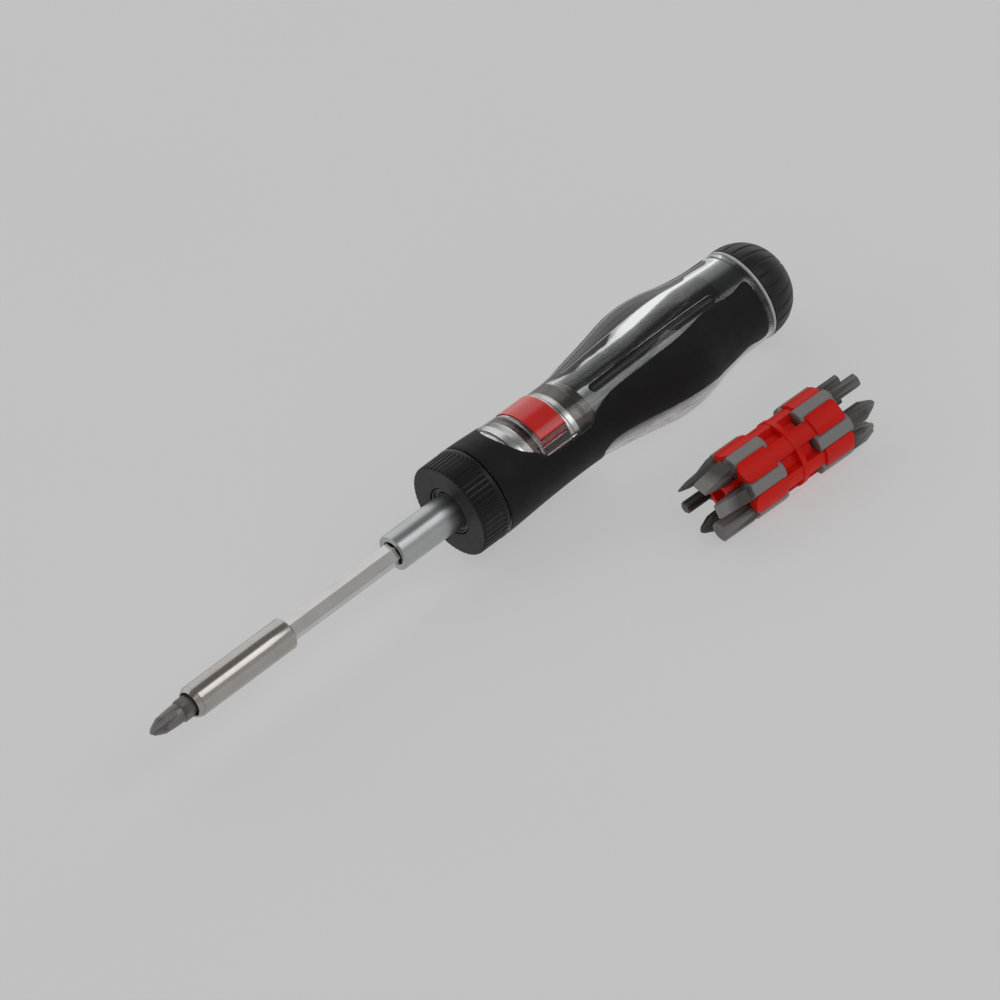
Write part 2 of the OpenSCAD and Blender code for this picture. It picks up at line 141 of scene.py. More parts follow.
def cutter(name, verts, faces):
    me = bpy.data.meshes.new(name)
    me.from_pydata([(float(v[0]) * MM, float(v[1]) * MM, float(v[2]) * MM) for v in verts], [], [tuple(int(i) for i in f) for f in faces])
    bm = bmesh.new()
    bm.from_mesh(me)
    bmesh.ops.remove_doubles(bm, verts=bm.verts, dist=2e-7)
    bmesh.ops.recalc_face_normals(bm, faces=bm.faces)
    bm.to_mesh(me)
    bm.free()
    ob = bpy.data.objects.new(name, me)
    scene.collection.objects.link(ob)
    return ob


def polar(x, rad, psi):
    """A point at x, radius rad and angle psi (radians from +Z towards +Y)."""
    return (x, rad * math.sin(psi), rad * math.cos(psi))


def revolve(loop, seg=160, closed=True, mod=None):
    """Closed solid of revolution about X. loop is a list of (x, r); r = 0 points become poles."""
    n = len(loop)
    verts, faces = [], []
    ring = []
    for (x, rr) in loop:
        if rr <= 1e-6:
            ring.append([len(verts)])
            verts.append((x, 0, 0))
        else:
            ids = []
            for k in range(seg):
                psi = 2 * math.pi * k / seg
                q = mod(x, rr, psi) if mod else rr
                ids.append(len(verts))
                verts.append(polar(x, q, psi))
            ring.append(ids)
    last = n if closed else n - 1
    for i in range(last):
        a, c = ring[i], ring[(i + 1) % n]
        if len(a) == 1 and len(c) == 1:
            continue
        for k in range(seg):
            k2 = (k + 1) % seg
            if len(a) == 1:
                faces.append((a[0], c[k], c[k2]))
            elif len(c) == 1:
                faces.append((a[k], c[0], a[k2]))
            else:
                faces.append((a[k], c[k], c[k2], a[k2]))
    return verts, faces


def arc(cx, cr, rad, a0, a1, n=5):
    """Points of an arc in the (x, r) half plane, angles in degrees from +x."""
    return [(cx + rad * math.cos(math.radians(a0 + (a1 - a0) * i / n)), cr + rad * math.sin(math.radians(a0 + (a1 - a0) * i / n))) for i in range(n + 1)]


# ------------------------------------------------------------------ handle profile
PROF = np.array([(-117.2, 15.5), (-119.6, 15.45), (-122.2, 15.33), (-125, 15.18), (-128, 15.0), (-131, 14.83),
                 (-134, 14.67), (-138, 14.52), (-142, 14.38), (-146, 14.29), (-150, 14.24), (-154, 14.24),
                 (-157, 14.32), (-160, 14.55), (-163, 14.95), (-165.5, 15.35), (-168, 15.75), (-170.6, 16.15),
                 (-173.3, 16.6), (-175.9, 17.08), (-178.5, 17.55), (-181.1, 18.05), (-183.7, 18.5),
                 (-186.2, 18.86), (-188.6, 19.05), (-191, 19.12), (-193.4, 19.05), (-195.9, 18.84),
                 (-198.3, 18.5), (-200.9, 18.0), (-203.2, 17.4), (-205.9, 16.75), (-208.8, 16.23),
                 (-211.5, 15.85), (-214.3, 15.55), (-217.2, 15.35), (-220.5, 15.24), (-225.85, 15.2)])[::-1]


def spline(xs, ys):
    """Natural cubic spline through the points, returned as a function."""
    n = len(xs)
    h = np.diff(xs)
    A = np.zeros((n, n))
    rhs = np.zeros(n)
    A[0, 0] = A[-1, -1] = 1
    for i in range(1, n - 1):
        A[i, i - 1], A[i, i], A[i, i + 1] = h[i - 1], 2 * (h[i - 1] + h[i]), h[i]
        rhs[i] = 6 * ((ys[i + 1] - ys[i]) / h[i] - (ys[i] - ys[i - 1]) / h[i - 1])
    m = np.linalg.solve(A, rhs)

    def f(x):
        i = int(min(max(np.searchsorted(xs, x) - 1, 0), n - 2))
        t = x - xs[i]
        return float(ys[i] + t * ((ys[i + 1] - ys[i]) / h[i] - h[i] * (2 * m[i] + m[i + 1]) / 6) + t * t * m[i] / 2 + t ** 3 * (m[i + 1] - m[i]) / (6 * h[i]))
    return f


R = spline(PROF[:, 0], PROF[:, 1])

# ------------------------------------------------------------------ node materials
def base_mat(name):
    m = bpy.data.materials.new(name)
    m.use_nodes = True
    nt = m.node_tree
    bsdf = nt.nodes["Principled BSDF"]
    return m, nt, bsdf


def coords(nt):
    tc = nt.nodes.new("ShaderNodeTexCoord")
    return tc.outputs["Object"]


def noise(nt, vec, scale, detail=3.0, rough=0.5, stretch=None):
    if stretch:
        mp = nt.nodes.new("ShaderNodeMapping")
        mp.inputs["Scale"].default_value = stretch
        nt.links.new(vec, mp.inputs["Vector"])
        vec = mp.outputs["Vector"]
    n = nt.nodes.new("ShaderNodeTexNoise")
    n.inputs["Scale"].default_value = scale
    n.inputs["Detail"].default_value = detail
    n.inputs["Roughness"].default_value = rough
    nt.links.new(vec, n.inputs["Vector"])
    return n.outputs["Fac"]


def ramp(nt, fac, stops):
    c = nt.nodes.new("ShaderNodeValToRGB")
    el = c.color_ramp.elements
    while len(el) > 1:
        el.remove(el[-1])
    el[0].position, el[0].color = stops[0][0], (*stops[0][1], 1)
    for p, col in stops[1:]:
        e = el.new(p)
        e.color = (*col, 1)
    nt.links.new(fac, c.inputs["Fac"])
    return c.outputs["Color"]


def remap(nt, fac, lo, hi, f0=0.3, f1=0.7):
    mr = nt.nodes.new("ShaderNodeMapRange")
    mr.inputs["From Min"].default_value = f0
    mr.inputs["From Max"].default_value = f1
    mr.inputs["To Min"].default_value = lo
    mr.inputs["To Max"].default_value = hi
    nt.links.new(fac, mr.inputs["Value"])
    return mr.outputs["Result"]


def bump(nt, height, strength, dist, prev=None):
    bp = nt.nodes.new("ShaderNodeBump")
    bp.inputs["Strength"].default_value = strength
    bp.inputs["Distance"].default_value = dist * MM
    nt.links.new(height, bp.inputs["Height"])
    if prev is not None:
        nt.links.new(prev, bp.inputs["Normal"])
    return bp.outputs["Normal"]


def mix_col(nt, fac, a, c):
    mx = nt.nodes.new("ShaderNodeMix")
    mx.data_type = "RGBA"
    nt.links.new(fac, mx.inputs["Factor"])
    for sock, val in (("A", a), ("B", c)):
        s = [i for i in mx.inputs if i.name == sock and i.type == "RGBA"][0]
        if isinstance(val, tuple):
            s.default_value = (*val, 1)
        else:
            nt.links.new(val, s)
    return [o for o in mx.outputs if o.type == "RGBA"][0]


def edge_wear(nt):
    """How far a place stands out as an edge, 0 to 1."""
    g = nt.nodes.new("ShaderNodeNewGeometry")
    return remap(nt, g.outputs["Pointiness"], 0.0, 1.0, 0.51, 0.58)


def plastic(name, col, rough=(0.35, 0.5), grain=0.0, grain_scale=2500.0, vary=0.12, wear=0.0, coat=0.0, spec=0.5, sheen=0.0):
    m, nt, p = base_mat(name)
    v = coords(nt)
    n1 = noise(nt, v, 60.0, 4.0, 0.6)
    dark = tuple(c * (1 - vary) for c in col)
    light = tuple(min(1.0, c * (1 + vary)) for c in col)
    c = ramp(nt, n1, [(0.3, dark), (0.7, light)])
    if wear > 0:
        w = edge_wear(nt)
        ww = remap(nt, w, 0.0, wear, 0.0, 1.0)
        c = mix_col(nt, ww, c, tuple(min(1.0, x * 2.0 + 0.04) for x in col))
    nt.links.new(c, p.inputs["Base Color"])
    n2 = noise(nt, v, 240.0, 3.0, 0.6)
    nt.links.new(remap(nt, n2, rough[0], rough[1]), p.inputs["Roughness"])
    nrm = bump(nt, n2, 0.05, 0.05)
    if grain > 0:
        g = noise(nt, v, grain_scale, 2.0, 0.6)
        nrm = bump(nt, g, grain, 0.06, nrm)
    nt.links.new(nrm, p.inputs["Normal"])
    p.inputs["Specular IOR Level"].default_value = spec
    if sheen:
        p.inputs["Sheen Weight"].default_value = sheen
        p.inputs["Sheen Roughness"].default_value = 0.45
    if coat:
        p.inputs["Coat Weight"].default_value = coat
        p.inputs["Coat Roughness"].default_value = 0.08
    return m


def metal(name, col, rough=(0.2, 0.35), stretch=None, scratch=0.15, vary=0.08, aniso=0.0, wear=0.0, metallic=1.0, streak=800.0, dark_x=None):
    m, nt, p = base_mat(name)
    v = coords(nt)
    n1 = noise(nt, v, 90.0, 4.0, 0.6)
    c = ramp(nt, n1, [(0.3, tuple(x * (1 - vary) for x in col)), (0.7, tuple(min(1, x * (1 + vary)) for x in col))])
    if wear > 0:
        c = mix_col(nt, remap(nt, edge_wear(nt), 0.0, wear, 0.0, 1.0), c, tuple(min(1, x * 1.7 + 0.12) for x in col))
    if dark_x is not None:
        # dark brown behind this plane
        sep = nt.nodes.new("ShaderNodeSeparateXYZ")
        nt.links.new(v, sep.inputs[0])
        c = mix_col(nt, remap(nt, sep.outputs["X"], 1.0, 0.0, dark_x - 0.0004, dark_x), c, (0.13, 0.115, 0.105))
    nt.links.new(c, p.inputs["Base Color"])
    n2 = noise(nt, v, streak, 3.0, 0.6, stretch)
    nt.links.new(remap(nt, n2, rough[0], rough[1]), p.inputs["Roughness"])
    nt.links.new(bump(nt, n2, scratch, 0.03), p.inputs["Normal"])
    p.inputs["Metallic"].default_value = metallic
    p.inputs["Anisotropic"].default_value = aniso
    return m


def clear(name, tint, rough=(0.0, 0.03), ior=1.5, trans=1.0, streak=0.0, strip=None, paint_flute_shade=False):
    """Clear plastic; strip = (transmission, roughness) below the tool's waist line, where it is whiter, less clear and
    rougher, with pale streaks along the tool.
    """
    m, nt, p = base_mat(name)
    v = coords(nt)
    n1 = noise(nt, v, 40.0, 2.0, 0.5)
    c = ramp(nt, n1, [(0.3, tuple(x * 0.985 for x in tint)), (0.7, tint)])
    p.inputs["Transmission Weight"].default_value = trans
    p.inputs["IOR"].default_value = ior
    n2 = noise(nt, v, 300.0, 3.0, 0.6)
    rg = remap(nt, n2, rough[0], rough[1])
    n3 = noise(nt, v, 25.0, 2.0, 0.5)
    nrm = bump(nt, n3, 0.04, 0.4)
    if streak:
        nrm = bump(nt, noise(nt, v, 900.0, 3.0, 0.6, (0.03, 1, 1)), streak, 0.05, nrm)
    if strip:
        sep = nt.nodes.new("ShaderNodeSeparateXYZ")
        nt.links.new(v, sep.inputs[0])
        low = remap(nt, sep.outputs["Z"], 1.0, 0.0, -0.0075, -0.0035)
        mt = nt.nodes.new("ShaderNodeMath")
        mt.operation = "MULTIPLY_ADD"
        mt.inputs[1].default_value = strip[0] - trans
        mt.inputs[2].default_value = trans
        nt.links.new(low, mt.inputs[0])
        mr = nt.nodes.new("ShaderNodeMath")
        mr.operation = "MULTIPLY_ADD"
        mr.inputs[1].default_value = strip[1]
        nt.links.new(low, mr.inputs[0])
        nt.links.new(rg, mr.inputs[2])
        rg = mr.outputs[0]
        trans_out = mt.outputs[0]
        lines = ramp(nt, noise(nt, v, 1500.0, 3.0, 0.6, (0.02, 1, 1)), [(0.38, (0.42, 0.43, 0.44)), (0.50, (0.86, 0.87, 0.88)), (0.62, (0.97, 0.97, 0.97))])
        c = mix_col(nt, low, c, lines)
        if paint_flute_shade:
            # painted shade: the walls of the chamber's flutes, which look black through the handle, are painted near
            # black and made opaque
            def calc(op, a, b):
                q = nt.nodes.new("ShaderNodeMath")
                q.operation = op
                for k_, val in enumerate((a, b)):
                    if isinstance(val, (int, float)):
                        q.inputs[k_].default_value = val
                    elif val is not None:
                        nt.links.new(val, q.inputs[k_])
                return q.outputs[0]
            rr = calc("SQRT", calc("ADD", calc("MULTIPLY", sep.outputs["Y"], sep.outputs["Y"]), calc("MULTIPLY", sep.outputs["Z"], sep.outputs["Z"])), None)
            flute_shade_mask = calc("MULTIPLY", remap(nt, rr, 0.0, 1.0, 0.01234, 0.01244), remap(nt, rr, 1.0, 0.0, 0.01345, 0.01355))
            flute_shade_mask = calc("MULTIPLY", flute_shade_mask, remap(nt, sep.outputs["X"], 1.0, 0.0, -0.1604, -0.1600))
            flute_shade_mask = calc("MULTIPLY", flute_shade_mask, remap(nt, sep.outputs["X"], 0.0, 1.0, -0.2136, -0.2132))
            c = mix_col(nt, flute_shade_mask, c, (0.004, 0.004, 0.005))
            trans_out = calc("MULTIPLY", trans_out, calc("SUBTRACT", 1.0, flute_shade_mask))
            rg = calc("ADD", rg, calc("MULTIPLY", flute_shade_mask, 0.25))
        nt.links.new(trans_out, p.inputs["Transmission Weight"])
    nt.links.new(c, p.inputs["Base Color"])
    nt.links.new(rg, p.inputs["Roughness"])
    nt.links.new(nrm, p.inputs["Normal"])
    return m


MAT = {
    "grip": plastic("soft_grip_black", (0.0042, 0.0042, 0.0050), rough=(0.56, 0.70), grain=0.25, grain_scale=3500.0, vary=0.15, spec=0.28, sheen=0.05),
    "black": plastic("satin_black_plastic", (0.0038, 0.0038, 0.0046), rough=(0.33, 0.45), grain=0.12, grain_scale=3000.0, vary=0.15, spec=0.34, sheen=0.02),
    "cap": plastic("cap_black_plastic", (0.0050, 0.0050, 0.0058), rough=(0.36, 0.48), grain=0.12, grain_scale=3000.0, vary=0.15, spec=0.42, sheen=0.03),
    "bush": plastic("bush_black_plastic", (0.010, 0.010, 0.011), rough=(0.22, 0.34), vary=0.1),
    "brown": plastic("bulkhead_brown", (0.045, 0.034, 0.030), rough=(0.3, 0.45), vary=0.2),
    "red": plastic("button_red", (0.72, 0.016, 0.010), rough=(0.16, 0.26), vary=0.06, coat=0.45, spec=0.45),
    "carrier": plastic("carrier_red", (0.74, 0.011, 0.005), rough=(0.34, 0.46), vary=0.08, spec=0.16),
    # the clear body carries painted shade on its flute walls
    "clear": clear("clear_body", (0.97, 0.98, 0.98), streak=0.12, strip=(0.18, 0.30), paint_flute_shade=True),
    "frame": clear("clear_frame", (0.99, 0.90, 0.90), rough=(0.02, 0.08)),
    "ring": clear("milky_ring", (0.93, 0.94, 0.94), rough=(0.12, 0.25), trans=0.45),
    "nickel": metal("bright_nickel", (0.61, 0.605, 0.59), rough=(0.14, 0.26), stretch=(0.04, 1, 1), scratch=0.10),
    "satin": metal("satin_silver", (0.50, 0.505, 0.51), rough=(0.26, 0.38), stretch=(0.05, 1, 1), scratch=0.12),
    "steel": metal("stainless_turned", (0.47, 0.445, 0.42), rough=(0.13, 0.22), stretch=(1, 0.05, 0.05), scratch=0.10),
    "barrel": metal("inner_barrel_nickel", (0.72, 0.72, 0.71), rough=(0.18, 0.30), stretch=(1, 0.05, 0.05), scratch=0.08, dark_x=-0.1518),
    "bit": metal("bit_dark", (0.105, 0.100, 0.096), rough=(0.36, 0.5), scratch=0.3, wear=0.8, metallic=0.75, streak=1400.0),
    "stored": metal("stored_bit_grey", (0.088, 0.081, 0.076), rough=(0.42, 0.58), scratch=0.3, wear=1.0, metallic=0.32, streak=1400.0),
    # painted shade: a darker copy of the stored bit grey, for the bits that lie in shade
    "stored_painted_shade": metal("stored_bit_painted_shade", (0.045, 0.042, 0.040), rough=(0.40, 0.54), scratch=0.3, wear=0.6, metallic=0.45, streak=1400.0),
    "tool": metal("ground_tool_steel", (0.36, 0.36, 0.37), rough=(0.28, 0.42), scratch=0.2),
    "spring": metal("spring_wire", (0.55, 0.55, 0.56), rough=(0.22, 0.34), scratch=0.1),
    "bronze": metal("bearing_bronze", (0.62, 0.45, 0.24), rough=(0.35, 0.5), scratch=0.2),
    "magnet": metal("magnet_plated", (0.5, 0.5, 0.52), rough=(0.25, 0.4), scratch=0.1),
    "rubber": plastic("seal_rubber", (0.010, 0.010, 0.010), rough=(0.45, 0.6), grain=0.1),
}


def paint(ob, key):
    ob.data.materials.clear()
    ob.data.materials.append(MAT[key])


NODE_MAT = {
    "ratchet_housing": "black", "front_bush": "bush", "thrust_washer": "bronze", "inner_barrel": "barrel", "bulkhead": "brown",
    "button_springs": "spring", "pawl_pins": "tool", "detent_ball": "nickel", "detent_spring": "spring", "rear_ring": "ring",
    "ratchet_gear": "tool", "hex_guide_bushes": "bush", "tube_circlip": "spring", "pawl_right": "tool", "pawl_left": "tool",
    "pawl_spring_right": "spring", "pawl_spring_left": "spring", "hex_blade": "nickel", "holder_magnet": "magnet",
    "bit_retaining_ring": "spring", "phillips_bit": "bit", "latch_plate": "tool", "cap_plug": "black", "cap_o_ring": "rubber",
    "cap_pivot_screw": "tool", "magazine_carrier": "carrier", "handle_core": "clear", "soft_grip": "grip", "button_frame": "frame",
    "selector_ring": "black", "drive_tube": "satin", "bit_holder_sleeve": "steel", "release_button": "red", "cap_dome": "cap",
}
for k in range(1, 7):
    NODE_MAT["mag_bit_f%d" % k] = "stored"
    NODE_MAT["mag_bit_r%d" % k] = "stored"
# painted shade: bits 3 and 4 at both ends get the darker copy for the shade they lie in
for n in ("mag_bit_f3", "mag_bit_f4", "mag_bit_r3", "mag_bit_r4"):
    NODE_MAT[n] = "stored_painted_shade"
for n, k in NODE_MAT.items():
    ob = NODES[n]
    if not ob.data.materials:
        ob.data.materials.append(None)
    for i in range(len(ob.data.materials)):
        ob.material_slots[i].link = "OBJECT"
        ob.material_slots[i].material = MAT[k]

# ------------------------------------------------------------------ soft grip
S0 = 15.0                                     # mm of arc per radian in the flat drawing of the skin


def crom(pts, step=0.6):
    """Catmull-Rom curve through the points, about step mm apart."""
    P = [np.array(p, float) for p in pts]
    P = [2 * P[0] - P[1]] + P + [2 * P[-1] - P[-2]]
    out = []
    for i in range(1, len(P) - 2):
        n = max(1, int(np.linalg.norm(P[i + 1] - P[i]) / step))
        for k in range(n):
            t = k / n
            out.append(0.5 * ((2 * P[i]) + (-P[i - 1] + P[i + 1]) * t + (2 * P[i - 1] - 5 * P[i] + 4 * P[i + 1] - P[i + 2]) * t * t + (-P[i - 1] + 3 * P[i] - 3 * P[i + 1] + P[i + 2]) * t ** 3))
    out.append(P[-2])
    return out


def psi_z(x, z):
    return math.acos(max(-1, min(1, z / R(x))))


def psi_y(x, y):
    return math.asin(max(-1, min(1, y / R(x))))


ARCH = [(-126.2, 0), (-126.3, 2), (-126.9, 4), (-127.7, 6), (-128.6, 7.6), (-130.2, 9.7), (-132.2, 11.0), (-134.2, 11.8), (-135.3, 12.6)]
LOWER = [(-159.2, -5.1), (-161, -4.1), (-163.5, -3.5), (-167.5, -3.3), (-174.1, -3.7), (-180.3, -4.1), (-186.9, -4.4), (-193.8, -5.1), (-200.9, -6.2), (-208.5, -6.8), (-215.2, -6.1), (-217.8, -6.6), (-220.4, -7.4)]
UPPER = [(-220.6, 12.1), (-217.8, 11.75), (-214.3, 11.9), (-210.8, 12.4), (-207.1, 12.85), (-203.4, 13.35), (-200, 13.6), (-196.1, 13.65), (-189.4, 13.45), (-183.1, 12.95), (-177.2, 12.0), (-173, 11.5), (-169.5, 11.1), (-166.4, 10.55), (-163.3, 9.7), (-160.2, 8.6), (-158.8, 8.0), (-157.5, 7.2)]


def half_grip():
    """Outline of the right-hand half of the grip in the flat drawing: x, arc length."""
    low = [(x, psi_z(x, z) * S0) for x, z in LOWER]
    upp = [(x, psi_z(x, z) * S0) for x, z in UPPER]
    a_low, a_up = low[-1], upp[0]
    tipc = [(-222.6, a_low[1] - 0.3), (-223.7, a_low[1] - 2.0), (-224.0, (a_low[1] + a_up[1]) / 2 + 4), (-224.0, (a_low[1] + a_up[1]) / 2 - 2), (-223.6, a_up[1] + 1.3), (-222.4, a_up[1] - 0.1)]
    side = [(x, psi_y(x, y) * S0) for x, y in ((-156, 12.95), (-154, 13.3), (-148, 13.3), (-142, 13.3), (-138.6, 13.3), (-136.8, 13.22))]
    arch = [(x, psi_y(x, y) * S0) for x, y in ARCH][::-1]
    front = [(-117.25, t * S0) for t in np.linspace(0, math.pi, 60)]
    rear = [(-157.55, t * S0) for t in np.linspace(math.pi, math.radians(119), 24)]
    corner = [(-157.75, math.radians(116.2) * S0)]
    rest = crom(corner + low + tipc + upp + side, 0.6) + crom([side[-1], (-136.2, psi_y(-136.2, 13.1) * S0)] + arch, 0.5)[1:]
    B1 = [np.array(p) for p in front]
    B2 = [np.array(p) for p in rear] + [np.array(p) for p in rest]
    B2[-1][1] = 0.0
    return B1, B2


def offset_line(P, d):
    """The line moved d to its left-hand side."""
    out = []
    for i in range(len(P)):
        a = P[max(i - 1, 0)]
        c = P[min(i + 1, len(P) - 1)]
        t = (c - a) / (np.linalg.norm(c - a) + 1e-12)
        out.append(P[i] + d * np.array([-t[1], t[0]]))
    return out


B1, B2 = half_grip()
# the skin lies on the side of -x behind B1 and, along B2, on the other side of the line's direction
EDGE = [0.0, 0.1, 0.26, 0.5]
pts, edges, dist = [], [], []


def add_line(P, d, join=True):
    ids = []
    for q in P:
        ids.append(len(pts))
        pts.append((float(q[0]), float(q[1])))
        dist.append(d)
    if join:
        for i in range(len(ids) - 1):
            edges.append((ids[i], ids[i + 1]))
    return ids


def inside_poly(q, poly):
    x, y = q
    c = False
    j = len(poly) - 1
    for i in range(len(poly)):
        xi, yi = poly[i]
        xj, yj = poly[j]
        if (yi > y) != (yj > y) and x < (xj - xi) * (y - yi) / (yj - yi) + xi:
            c = not c
        j = i
    return c


outline = [tuple(p) for p in B1] + [tuple(p) for p in B2]
sgn = 1.0
test = offset_line(B2, 0.5)[len(B2) // 2]
if not inside_poly(test, outline):
    sgn = -1.0
sg1 = 1.0 if inside_poly(offset_line(B1, 0.5)[30], outline) else -1.0
loopsB2, loopsB1 = [], []
for e in EDGE:
    L1 = offset_line(B1, sg1 * e)
    L2 = offset_line(B2, sgn * e)
    for L in (L1, L2):
        L[0][1] = round(max(0.0, min(math.pi * S0, L[0][1])), 6)
        L[-1][1] = round(max(0.0, min(math.pi * S0, L[-1][1])), 6)
    L1[0][1], L1[-1][1] = 0.0, math.pi * S0
    L2[0][1], L2[-1][1] = math.pi * S0, 0.0
    loopsB1.append(add_line(L1, e))
    loopsB2.append(add_line(L2, e))
# seams along psi = 0 and psi = 180 degrees
for (a, c) in ((loopsB1, 0), (loopsB1, -1)):
    pass
poly_arr = np.array(outline)
allB = np.array([tuple(p) for p in B1] + [tuple(p) for p in B2])


def dist_to_edge(q):
    return float(np.min(np.hypot(allB[:, 0] - q[0], allB[:, 1] - q[1])))


gstep = 1.25
xs = np.arange(-223.5, -118.0, gstep)
for i, x in enumerate(xs):
    off = 0.0 if i % 2 == 0 else gstep / 2
    for s in np.arange(gstep + off, math.pi * S0 - 0.6, gstep):
        q = (float(x), float(s))
        if inside_poly(q, outline):
            d = dist_to_edge(q)
            if d > 1.0:
                pts.append(q)
                dist.append(d)
# points on the two seams, so that the mirrored halves meet
for s, x0, x1 in ((0.0, loopsB2[-1][-1], loopsB1[-1][0]), (math.pi * S0, loopsB2[-1][0], loopsB1[-1][-1])):
    xa, xb = pts[x0][0], pts[x1][0]
    chain = [x0]
    for x in np.arange(xa + 1.2, xb - 0.6, 1.2):
        chain.append(len(pts))
        pts.append((float(x), float(s)))
        dist.append(dist_to_edge((x, s)))
    chain.append(x1)
    for i in range(len(chain) - 1):
        edges.append((chain[i], chain[i + 1]))
for k in range(len(EDGE) - 1):
    edges.append((loopsB1[k][0], loopsB1[k + 1][0]))
    edges.append((loopsB1[k][-1], loopsB1[k + 1][-1]))
    edges.append((loopsB2[k][0], loopsB2[k + 1][0]))
    edges.append((loopsB2[k][-1], loopsB2[k + 1][-1]))
face = loopsB1[0] + loopsB2[0]
vo, eo, fo, vmap, _, _ = geometry.delaunay_2d_cdt([Vector(p) for p in pts], edges, [face], 1, 1e-5)
dd = [max([dist[i] for i in src]) if src else dist_to_edge(v) for v, src in zip(vo, vmap)]


def skin_r(x, d, s):
    e = 0.5
    t = min(d / e, 1.0)
    return R(x) - 0.42 * (1 - math.sqrt(max(0.0, 1 - (1 - t) ** 2)))


def grip_mesh():
    verts, faces = [], []
    n = len(vo)
    keep = [f for f in fo if len(f) >= 3]
    for side in (1, -1):
        for v, d in zip(vo, dd):
            psi = v[1] / S0 * side
            verts.append(polar(v[0], skin_r(v[0], d, v[1]), psi))
    for f in keep:
        faces.append(tuple(f))
        faces.append(tuple(i + n for i in reversed(f)))
    return verts, faces, n


gv, gf, gn = grip_mesh()
# weld the two halves on the seams
me = bpy.data.meshes.new("tmp_grip")
me.from_pydata([tuple(c * MM for c in v) for v in gv], [], gf)
bm = bmesh.new()
bm.from_mesh(me)
bmesh.ops.remove_doubles(bm, verts=bm.verts, dist=2e-6)
bmesh.ops.recalc_face_normals(bm, faces=bm.faces)
bm.verts.ensure_lookup_table()
bm.verts.index_update()
outer = [tuple(v.co) for v in bm.verts]
of_faces = [tuple(v.index for v in f.verts) for f in bm.faces]
rim = [(e.verts[0].index, e.verts[1].index, e.link_faces[0]) for e in bm.edges if len(e.link_faces) == 1]
nv = len(outer)
inner = []
for (x, y, z) in outer:
    rr = math.hypot(y, z)
    k = (R(x / MM) - 1.55) * MM / rr
    inner.append((x, y * k, z * k))
walls = []
for a, c, f in rim:
    ids = [v.index for v in f.verts]
    i = ids.index(a)
    if ids[(i + 1) % len(ids)] == c:
        walls.append((c, a, a + nv, c + nv))
    else:
        walls.append((a, c, c + nv, a + nv))
bm.free()
bpy.data.meshes.remove(me)
all_v = [tuple(c / MM for c in v) for v in outer + inner]
all_f = of_faces + [tuple(i + nv for i in reversed(f)) for f in of_faces] + walls
grip = new_obj("soft_grip_skin", all_v, all_f, "handle", ["soft_grip"], sharp_deg=50)
paint(grip, "grip")

# ------------------------------------------------------------------ clear handle core
GAP = 0.20                                     # the clear surface lies this much under the grip's face
xs = list(np.arange(-225.3, -118.0, 1.2))
outer_line = [(-225.84, R(-225.84) - GAP - 0.35)] + [(-225.65, R(-225.65) - GAP - 0.08)] + [(x, R(x) - GAP) for x in xs] + [(-117.25, R(-117.25) - GAP)]
inner_line = [(-117.25, 12.45), (-127.95, 12.45), (-128.0, 11.2), (-129.1, 11.8), (-131.5, 11.85), (-134.1, 11.45), (-136.1, 10.5), (-137.1, 9.2), (-155.75, 9.2),
              (-155.75, 12.25), (-160, 12.25), (-175, 12.25), (-190, 12.25), (-205, 12.25), (-220, 12.25), (-225.84, 12.25)]
cv, cf = revolve(outer_line + inner_line, 192)
core = new_obj("clear_core", cv, cf, "handle", ["handle_core"], sharp_deg=30)


def sector(x0, x1, r0, r1, a, n=40):
    """Solid between two radii, two x planes and +-a radians round +Z."""
    v, f = [], []
    for i in range(n + 1):
        psi = -a + 2 * a * i / n
        for (x, rr) in ((x0, r0), (x1, r0), (x1, r1), (x0, r1)):
            v.append(polar(x, rr, psi))
    for i in range(n):
        for k in range(4):
            p, q = i * 4 + k, i * 4 + (k + 1) % 4
            f.append((p, q, q + 4, p + 4))
    f.append((3, 2, 1, 0))
    m = n * 4
    f.append((m, m + 1, m + 2, m + 3))
    return v, f


def saddle(x0, x1, w, r_low, r_top, n=40, flat_top=None):
    """Solid of half width w, between the cylinders r_low and r_top (or up to z = flat_top)."""
    v, f = [], []
    for i in range(n + 1):
        y = w * math.sin(math.pi * (i / n - 0.5))
        zl = math.sqrt(max(r_low ** 2 - y * y, 0.0))
        zt = flat_top if flat_top is not None else math.sqrt(r_top ** 2 - y * y)
        for (x, z) in ((x0, zl), (x1, zl), (x1, zt), (x0, zt)):
            v.append((x, y, z))
    for i in range(n):
        for k in range(4):
            p, q = i * 4 + k, i * 4 + (k + 1) % 4
            f.append((p, q, q + 4, p + 4))
    f.append((3, 2, 1, 0))
    m = n * 4
    f.append((m, m + 1, m + 2, m + 3))
    return v, f


def capsule(x0, x1, rad, psi, R0, seg=24, rows=8):
    """A bar with round ends along X at radius R0 and angle psi."""
    prof = [(x0 - rad * math.cos(math.pi / 2 * i / rows), rad * math.sin(math.pi / 2 * i / rows)) for i in range(rows + 1)]
    prof += [(x1 + rad * math.sin(math.pi / 2 * i / rows), rad * math.cos(math.pi / 2 * i / rows)) for i in range(rows + 1)]
    prof[0], prof[-1] = (x0 - rad, 0.0), (x1 + rad, 0.0)
    v, f = revolve(prof, seg, closed=False)
    oy, oz = R0 * math.sin(psi), R0 * math.cos(psi)
    return [(a, b_ + oy, c + oz) for a, b_, c in v], f


def slab(x0, x1, y0, y1, z0, z1):
    v = [(x, y, z) for x in (x0, x1) for y in (y0, y1) for z in (z0, z1)]
    return v, [(0, 1, 3, 2), (4, 6, 7, 5), (0, 4, 5, 1), (2, 3, 7, 6), (0, 2, 6, 4), (1, 5, 7, 3)]


